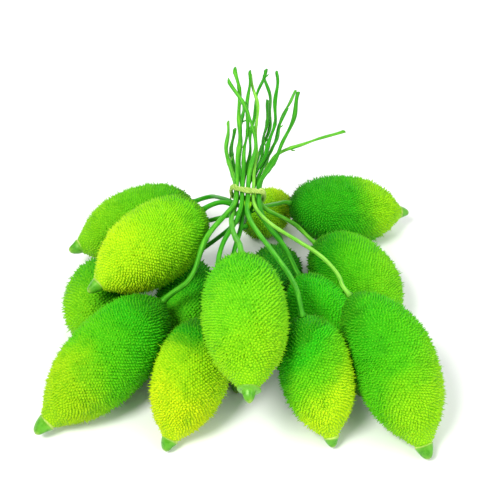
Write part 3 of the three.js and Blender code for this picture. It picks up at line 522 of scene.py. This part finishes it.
def skin_material(number):
    c0, c1, c2 = SKIN[number][:3]
    m, t, bsdf = material("skin_" + number)
    tone = attribute(t, "tone").outputs["Fac"]
    spine = attribute(t, "spine").outputs["Fac"]
    where = t.nodes.new("ShaderNodeTexCoord").outputs["Object"]
    big = node(t, "ShaderNodeTexNoise", Scale=55.0, Detail=3.0, Roughness=0.55)
    t.links.new(where, big.inputs["Vector"])
    fine = node(t, "ShaderNodeTexNoise", Scale=900.0, Detail=2.0, Roughness=0.6)
    t.links.new(where, fine.inputs["Vector"])
    shifted = math_node(t, "ADD", tone, math_node(t, "MULTIPLY", math_node(t, "SUBTRACT", big.outputs["Fac"], 0.5), 0.35))
    # the very stem end is darker still, partly the skin's deeper green and partly painted shade among the crowded
    # stems
    stem_end_green_and_shade = tuple(v * 0.62 for v in linear(c0)[:3]) + (1.0,)
    body = ramp(t, [(0.0, stem_end_green_and_shade), (0.16, linear(c0)), (0.52, linear(c1)), (0.92, linear(c2))], shifted)
    # painted shade: the valleys between the spines are darkened; the spine tips are paler, partly their own colour and
    # partly painted highlight
    valley_shade = mix(t, "MULTIPLY", 1.0, body.outputs[0], (0.46, 0.70, 0.45, 1.0))
    pale_tip_highlight = mix(t, "MIX", 0.16, body.outputs[0], (0.55, 0.95, 0.03, 1.0))
    # masks from the spine height: painted shade in the valleys, then pale tips with painted highlight
    low = math_node(t, "MULTIPLY", spine, 2.1, clamp=True)
    pale_tip_highlight_mask = math_node(t, "MULTIPLY", math_node(t, "SUBTRACT", spine, 0.5), 2.0, clamp=True)
    colour = mix(t, "MIX", low, valley_shade, body.outputs[0])
    colour = mix(t, "MIX", pale_tip_highlight_mask, colour, pale_tip_highlight)
    speck = ramp(t, [(0.35, (0.86, 0.90, 0.8, 1)), (0.65, (1.08, 1.04, 1.05, 1))], fine.outputs["Fac"])
    colour = mix(t, "MULTIPLY", 1.0, colour, speck.outputs[0])
    blotch = node(t, "ShaderNodeTexNoise", Scale=170.0, Detail=3.0, Roughness=0.6)
    t.links.new(where, blotch.inputs["Vector"])
    patches = ramp(t, [(0.32, (0.74, 0.86, 0.60, 1)), (0.5, (1.0, 1.0, 0.66, 1)), (0.70, (1.06, 1.02, 0.60, 1))], blotch.outputs["Fac"])
    colour = mix(t, "MULTIPLY", 1.0, colour, patches.outputs[0])
    t.links.new(colour, bsdf.inputs["Base Color"])
    rough = ramp(t, [(0.3, (0.42, 0.42, 0.42, 1)), (0.7, (0.58, 0.58, 0.58, 1))], big.outputs["Fac"])
    t.links.new(rough.outputs[0], bsdf.inputs["Roughness"])
    bsdf.inputs["Specular IOR Level"].default_value = 0.34
    bsdf.inputs["Specular Tint"].default_value = (0.50, 1.0, 0.10, 1.0)
    bump = node(t, "ShaderNodeBump", Strength=0.25, Distance=0.00015)
    t.links.new(fine.outputs["Fac"], bump.inputs["Height"])
    t.links.new(bump.outputs[0], bsdf.inputs["Normal"])
    return m


def stem_material(name, dark, light, streak=1.0):
    m, t, bsdf = material(name)
    flow = attribute(t, "flow").outputs["Vector"]
    cut = attribute(t, "cut").outputs["Fac"]
    stripes = node(t, "ShaderNodeTexNoise", Scale=2.6, Detail=4.0, Roughness=0.6)
    t.links.new(flow, stripes.inputs["Vector"])
    where = t.nodes.new("ShaderNodeTexCoord").outputs["Object"]
    patch = node(t, "ShaderNodeTexNoise", Scale=90.0, Detail=3.0, Roughness=0.6)
    t.links.new(where, patch.inputs["Vector"])
    body = ramp(t, [(0.34, linear(dark)), (0.5, linear(tuple((a + b) / 2 for a, b in zip(dark, light)))), (0.66, linear(light))], stripes.outputs["Fac"])
    tint = ramp(t, [(0.3, (0.70, 0.82, 0.6, 1)), (0.7, (1.15, 1.05, 1.2, 1))], patch.outputs["Fac"])
    colour = mix(t, "MULTIPLY", 1.0, body.outputs[0], tint.outputs[0])
    colour = mix(t, "MIX", cut, colour, linear((196, 214, 130)))
    t.links.new(colour, bsdf.inputs["Base Color"])
    rough = ramp(t, [(0.3, (0.34, 0.34, 0.34, 1)), (0.7, (0.52, 0.52, 0.52, 1))], stripes.outputs["Fac"])
    t.links.new(rough.outputs[0], bsdf.inputs["Roughness"])
    bsdf.inputs["Specular IOR Level"].default_value = 0.36
    bsdf.inputs["Specular Tint"].default_value = (0.55, 1.0, 0.30, 1.0)
    bump = node(t, "ShaderNodeBump", Strength=0.35 * streak, Distance=0.0002)
    t.links.new(stripes.outputs["Fac"], bump.inputs["Height"])
    t.links.new(bump.outputs[0], bsdf.inputs["Normal"])
    return m


def tip_material(number):
    m, t, bsdf = material("tip_" + number)
    along = attribute(t, "along").outputs["Fac"]
    where = t.nodes.new("ShaderNodeTexCoord").outputs["Object"]
    patch = node(t, "ShaderNodeTexNoise", Scale=320.0, Detail=4.0, Roughness=0.6)
    t.links.new(where, patch.inputs["Vector"])
    # the blossom ends of 08, 05, 10 and 15, low in the heap, are darkened as painted shade
    dark = number in ("08", "05", "10", "15")
    k = 0.35 if dark else 0.74
    end = linear(SKIN[number][2], 0.8)
    body = ramp(t, [(0.0, end), (0.11, linear((206, 236, 110), k)), (0.19, linear((118, 202, 44), k)), (0.5, linear((98, 190, 40), k)), (0.8, linear((106, 190, 42), k)), (1.0, linear((158, 206, 70), k))],
                math_node(t, "ADD", along, math_node(t, "MULTIPLY", math_node(t, "SUBTRACT", patch.outputs["Fac"], 0.5), 0.16)))
    tint = ramp(t, [(0.3, (0.62, 0.76, 0.6, 1)), (0.7, (1.2, 1.1, 1.3, 1))], patch.outputs["Fac"])
    colour = mix(t, "MULTIPLY", 1.0, body.outputs[0], tint.outputs[0])
    t.links.new(colour, bsdf.inputs["Base Color"])
    rough = ramp(t, [(0.3, (0.22, 0.22, 0.22, 1)), (0.7, (0.42, 0.42, 0.42, 1))], patch.outputs["Fac"])
    t.links.new(rough.outputs[0], bsdf.inputs["Roughness"])
    bsdf.inputs["Specular IOR Level"].default_value = 0.5
    bsdf.inputs["Specular Tint"].default_value = (0.75, 1.0, 0.45, 1.0)
    bsdf.inputs["Subsurface Weight"].default_value = 0.0
    bump = node(t, "ShaderNodeBump", Strength=0.3, Distance=0.0003)
    t.links.new(patch.outputs["Fac"], bump.inputs["Height"])
    t.links.new(bump.outputs[0], bsdf.inputs["Normal"])
    return m


# ----------------------------------------------------------------- the fruits
for number, fruit in FRUITS.items():
    obj, loose = spiny_fruit(number, fruit)
    obj.data.materials.append(skin_material(number))
    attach(obj, "root")
    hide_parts("gourd_" + number)

TIP_SHAPE = [(-0.10, 0.200), (0.0, 0.212), (0.045, 0.224), (0.085, 0.225), (0.125, 0.213), (0.2, 0.204), (0.35, 0.188), (0.5, 0.166),
             (0.65, 0.142), (0.8, 0.114), (0.9, 0.088), (0.96, 0.062), (1.0, 0.030)]
RIMMED_SHAPE = [(-0.10, 0.215), (0.0, 0.240), (0.05, 0.268), (0.10, 0.272), (0.15, 0.250), (0.17, 0.165), (0.20, 0.150), (0.35, 0.142),
                (0.55, 0.126), (0.75, 0.100), (0.88, 0.072), (0.96, 0.045), (1.0, 0.020)]
for number, fruit in FRUITS.items():
    rng = np.random.default_rng(300 + int(number))
    neck = axis_at(fruit, np.array(1.0))
    end = np.array(fruit[1], float)
    length = np.linalg.norm(end - neck)
    way = (end - neck) / length
    bow = rng.normal(size=3)
    bow = bow - way * (bow @ way)
    bow = bow / np.linalg.norm(bow) * rng.uniform(0.2, 0.7)
    shape = RIMMED_SHAPE if number == "07" else TIP_SHAPE
    small = {"02": 0.80, "13": 0.85, "01": 0.9}.get(number, 1.0)
    path = np.array([neck + way * length * a + bow * math.sin(min(1, max(0, a)) * math.pi) * 0.6 for a, _ in shape])
    radii = np.array([b for _, b in shape]) * fruit[3] * small
    turn = rng.uniform(0, 6.28)
    verts, faces, d, f, cut = ring_tube(path, radii, 20, lambda x, p: 0.07 * np.cos(5 * p + turn) * np.clip(x / length, 0, 1) + 0.02 * np.cos(3 * p + 2 * turn))
    share = np.clip(d / d.max(), 0, 1)
    verts[:, 2] = np.maximum(verts[:, 2], LOWEST)
    obj = make_object("blossom_end_" + number, verts, outward(verts, faces), {"along": share, "cut": cut})
    obj.data.materials.append(tip_material(number))
    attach(obj, "root")
    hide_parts("blossom_tip_" + number)

# ------------------------------------------------------------------ the stems
STEM_TONES = {
    "04": ((36, 140, 20), (116, 206, 52)), "06": ((28, 128, 16), (88, 190, 40)), "07": ((44, 150, 26), (132, 214, 70)),
    "09": ((32, 138, 22), (108, 202, 52)), "10": ((22, 118, 16), (84, 184, 40)), "12": ((84, 180, 38), (170, 230, 96)),
    "11": ((44, 150, 24), (140, 216, 64)), "13": ((38, 146, 22), (112, 202, 48)),
}
for number, (radius, route) in STEMS.items():
    rng = np.random.default_rng(600 + int(number))
    path = catmull(route, 1.3)
    dist = np.concatenate([[0], np.cumsum(np.linalg.norm(np.diff(path, axis=0), axis=1))])
    span = dist[-1]
    flare = 1 + 0.55 * np.exp(-dist / 1.4)
    end_swell = 1 + 0.10 * np.exp(-(span - dist) / 2.5)
    tied = dist[int(np.argmin(np.abs((path - np.array(TIE_CENTRE)) @ np.array(BUNDLE_DIRECTION))))]
    past = np.clip((dist - tied - 5.0) / 25.0, 0, 1)
    taper = (1 + (0.92 - 1) * dist / span) * (1 - rng.uniform(0.10, 0.30) * past)
    lumps = 1 + (0.035 + 0.10 * past) * np.sin(dist / 6.0 + rng.uniform(0, 6)) + (0.025 + 0.08 * past) * np.sin(dist / 2.7 + rng.uniform(0, 6))
    # nodes where side shoots were
    joints = tied + rng.uniform(12, max(14, span - tied - 4), size=2)
    for place in joints:
        lumps = lumps + 0.22 * np.exp(-((dist - place) / 1.3) ** 2)
    radii = radius * flare * end_swell * taper * lumps
    way_x, way_z = rng.uniform(0, 6.28, 2)
    path = path + past[:, None] * 0.60 * np.stack([np.sin(dist / 4.6 + way_x), 0 * dist, np.sin(dist / 5.7 + way_z)], axis=1)
    turn = rng.uniform(0, 6.28)
    twist = rng.uniform(-0.03, 0.03)
    verts, faces, d, f, cut = ring_tube(path, radii, 12, lambda x, p: 0.075 * np.cos(5 * (p + twist * x) + turn) + 0.02 * np.cos(2 * p + 0.2 * x), slant=rng.uniform(0.3, 1.3))
    faces = outward(verts, faces)
    shoots = []
    tg, e1, e2 = frames(path)
    for n_, place in enumerate(joints):
        at_i = int(np.argmin(np.abs(dist - place)))
        if place > span - 2 or rng.uniform() < 0.25:
            continue
        ang = rng.uniform(0, 6.28)
        out = e1[at_i] * math.cos(ang) + e2[at_i] * math.sin(ang)
        long = rng.uniform(2.0, 5.5)
        pts = [path[at_i] + out * radii[at_i] * 0.3, path[at_i] + out * (radii[at_i] + long * 0.25) + tg[at_i] * long * 0.35,
               path[at_i] + out * (radii[at_i] + long * 0.38) + tg[at_i] * long * 0.8]
        sp = catmull(np.array(pts), 0.6)
        v_, f_, d_, p_, c_ = ring_tube(sp, np.linspace(0.62, 0.26, len(sp)), 8, slant=0.8)
        shoots.append((v_, outward(v_, f_), d_, p_, c_))
    cut = cut * (d > span * 0.5)
    flow = np.stack([np.cos(f + twist * d) * 1.2, np.sin(f + twist * d) * 1.2, d * 0.035 + int(number) * 7.3], axis=1)
    parts = [(verts, faces, {"flow": flow, "cut": cut})]
    for v_, f_, d_, p_, c_ in shoots:
        parts.append((v_, f_, {"flow": np.stack([np.cos(p_), np.sin(p_), d_ * 0.05 + 3.1], axis=1), "cut": c_ * 0.6}))
    verts, faces, at = join_parts(parts)
    verts[:, 2] = np.maximum(verts[:, 2], LOWEST)
    obj = make_object("stalk_" + number, verts, faces, at)
    dark, light = STEM_TONES.get(number, ((18, 128, 12), (74, 182, 30)))
    obj.data.materials.append(stem_material("stalk_" + number, dark, light))
    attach(obj, "root")
    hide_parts("stem_" + number)

# -------------------------------------------------------------------- the tie
tie_centre, along_b = np.array(TIE_CENTRE), np.array(BUNDLE_DIRECTION)
side_b, top_b = np.array(BUNDLE_SIDE), np.array(BUNDLE_TOP)
crossings = []
for number, (radius, route) in STEMS.items():
    p = np.array(route, float) - tie_centre
    d = p @ along_b
    for i in range(1, len(p)):
        if d[i - 1] <= 0 < d[i]:
            q = p[i - 1] + (p[i] - p[i - 1]) * (-d[i - 1] / (d[i] - d[i - 1]))
            crossings.append((q @ side_b, q @ top_b, radius))
            break
loop = []
for i in range(40):
    a = 2 * math.pi * i / 40
    c, s_ = math.cos(a), math.sin(a)
    best = max(crossings, key=lambda x: x[0] * c + x[1] * s_ + x[2])
    out = best[2] + TIE_CLEARANCE * 0.4 + TIE_RADIUS
    u, w = best[0] + out * c, best[1] + out * s_
    dip = 3.6 * max(0.0, s_) * max(0.0, 1 - (u / 7.5) ** 2)
    loop.append(tie_centre + side_b * u + top_b * w + along_b * (TIE_SLOPE * u - dip))
loop = catmull(np.array(loop), 0.55, closed=True)
tg, e1, e2 = frames(loop, closed=True)
dist = np.concatenate([[0], np.cumsum(np.linalg.norm(np.diff(loop, axis=0), axis=1))])
around = dist[-1] + np.linalg.norm(loop[0] - loop[-1])
out_dir = unit(loop - (tie_centre + ((loop - tie_centre) @ along_b)[:, None] * along_b))
wide_dir = np.cross(tg, out_dir)
parts = []
rng = np.random.default_rng(77)
turns = 8
for strand in range(5):
    phase = 2 * math.pi * strand / 5
    ang = 2 * math.pi * turns * dist / around + phase + 0.5 * np.sin(dist / around * 2 * math.pi * 4 + 1.0)
    wob = 0.10 * np.sin(dist / around * 2 * math.pi * 3 + strand)
    centre = loop + out_dir * ((0.52 + wob) * np.cos(ang))[:, None] + wide_dir * ((1.25 + wob) * np.sin(ang))[:, None]
    rad = 0.56 + 0.10 * np.sin(dist / around * 2 * math.pi * 5 + 2 * strand)
    v, f, d, ph, cut = ring_tube(centre, rad, 8, closed=True)
    flow = np.stack([np.cos(ph) * 0.9, np.sin(ph) * 0.9, d * 0.12 + strand * 5.0], axis=1)
    parts.append((v, outward(v, f), {"flow": flow, "cut": cut}))
# knot on the underside with two short tails
low = loop[int(np.argmin((loop - tie_centre) @ top_b))]
for j, (ax_, rr_) in enumerate(((side_b, 1.0), (along_b, 0.8))):
    ring_pts = []
    other = np.cross(ax_, top_b)
    for i in range(16):
        a = 2 * math.pi * i / 16
        ring_pts.append(low - top_b * 0.9 + top_b * 1.2 * math.sin(a) + other * 1.5 * math.cos(a))
    v, f, d, ph, cut = ring_tube(catmull(np.array(ring_pts), 0.4, closed=True), np.full(len(catmull(np.array(ring_pts), 0.4, closed=True)), 0.55), 8, closed=True)
    flow = np.stack([np.cos(ph) * 0.9, np.sin(ph) * 0.9, d * 0.12 + 40 + j * 5.0], axis=1)
    parts.append((v, outward(v, f), {"flow": flow, "cut": cut}))
for j, sign in enumerate((-1, 1)):
    pts = [low - top_b * 1.2 + side_b * sign * 0.6, low - top_b * 2.6 + side_b * sign * 2.2 + along_b * 0.8, low - top_b * 4.6 + side_b * sign * 3.4 + along_b * 2.2, low - top_b * 7.2 + side_b * sign * 3.8 + along_b * 2.6]
    path = catmull(np.array(pts), 0.6)
    v, f, d, ph, cut = ring_tube(path, np.linspace(0.6, 0.4, len(path)), 8)
    flow = np.stack([np.cos(ph) * 0.9, np.sin(ph) * 0.9, d * 0.12 + 60 + j * 5.0], axis=1)
    parts.append((v, outward(v, f), {"flow": flow, "cut": cut * 0}))
v, f, at = join_parts(parts)
tie = make_object("fibre_tie", v, f, at)
tie.data.materials.append(stem_material("fibre", (140, 172, 62), (226, 246, 156), 1.6))
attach(tie, "root")
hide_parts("tie")

# ---------------------------------------------------------------- surroundings
floor_mesh = bpy.data.meshes.new("floor")
w = 3.0
floor_mesh.from_pydata([(-w, -w, 0), (w, -w, 0), (w, w, 0), (-w, w, 0)], [], [(0, 1, 2, 3)])
floor = bpy.data.objects.new("floor", floor_mesh)
bpy.context.scene.collection.objects.link(floor)
fm, ft, fb = material("floor")
fb.inputs["Base Color"].default_value = (0.93, 0.93, 0.93, 1)
fb.inputs["Roughness"].default_value = 0.85
fb.inputs["Specular IOR Level"].default_value = 0.1
floor_mesh.materials.append(fm)

world = bpy.data.worlds.new("studio")
bpy.context.scene.world = world
world.use_nodes = True
world.node_tree.nodes["Background"].inputs[0].default_value = (1.0, 1.0, 1.0, 1)
world.node_tree.nodes["Background"].inputs[1].default_value = 0.50


def lamp(name, place, aim, size, power, colour=(1, 1, 1)):
    data = bpy.data.lights.new(name, "AREA")
    data.shape = "DISK"
    data.size = size
    data.energy = power
    data.color = colour
    o = bpy.data.objects.new(name, data)
    o.location = place
    o.rotation_euler = (Vector(aim) - Vector(place)).to_track_quat("-Z", "Y").to_euler()
    bpy.context.scene.collection.objects.link(o)


mid = (0.0, 0.0, 0.03)
lamp("key", (-0.45, -0.50, 0.95), mid, 0.40, 11.0, (1.0, 0.99, 0.96))
lamp("fill", (0.75, -0.45, 0.60), mid, 0.8, 4.5)
lamp("back", (0.1, 0.85, 0.75), mid, 0.7, 4.0)

# --------------------------------------------------------------------- camera
ELEVATION = math.radians(42.0)
DISTANCE = 0.520
cam_data = bpy.data.cameras.new("camera")
cam_data.sensor_width = 36.0
cam_data.lens = 65.0
cam_data.clip_start = 0.01
cam_data.clip_end = 20.0
cam = bpy.data.objects.new("camera", cam_data)
target = Vector([v * MM for v in TARGET])
forward = Vector((0, math.cos(ELEVATION), -math.sin(ELEVATION)))
cam.location = target - forward * DISTANCE
cam.rotation_euler = forward.to_track_quat("-Z", "Y").to_euler()
bpy.context.scene.collection.objects.link(cam)
bpy.context.scene.camera = cam
bpy.context.scene.view_settings.view_transform = "Standard"

added = sum(sum(len(p.vertices) - 2 for p in o.data.polygons) for o in bpy.data.objects if o.type == "MESH" and (o.name.startswith("skin_") or o.name.startswith("stalk_") or o.name.startswith("blossom_end") or o.name == "fibre_tie"))
print("triangles added", added)
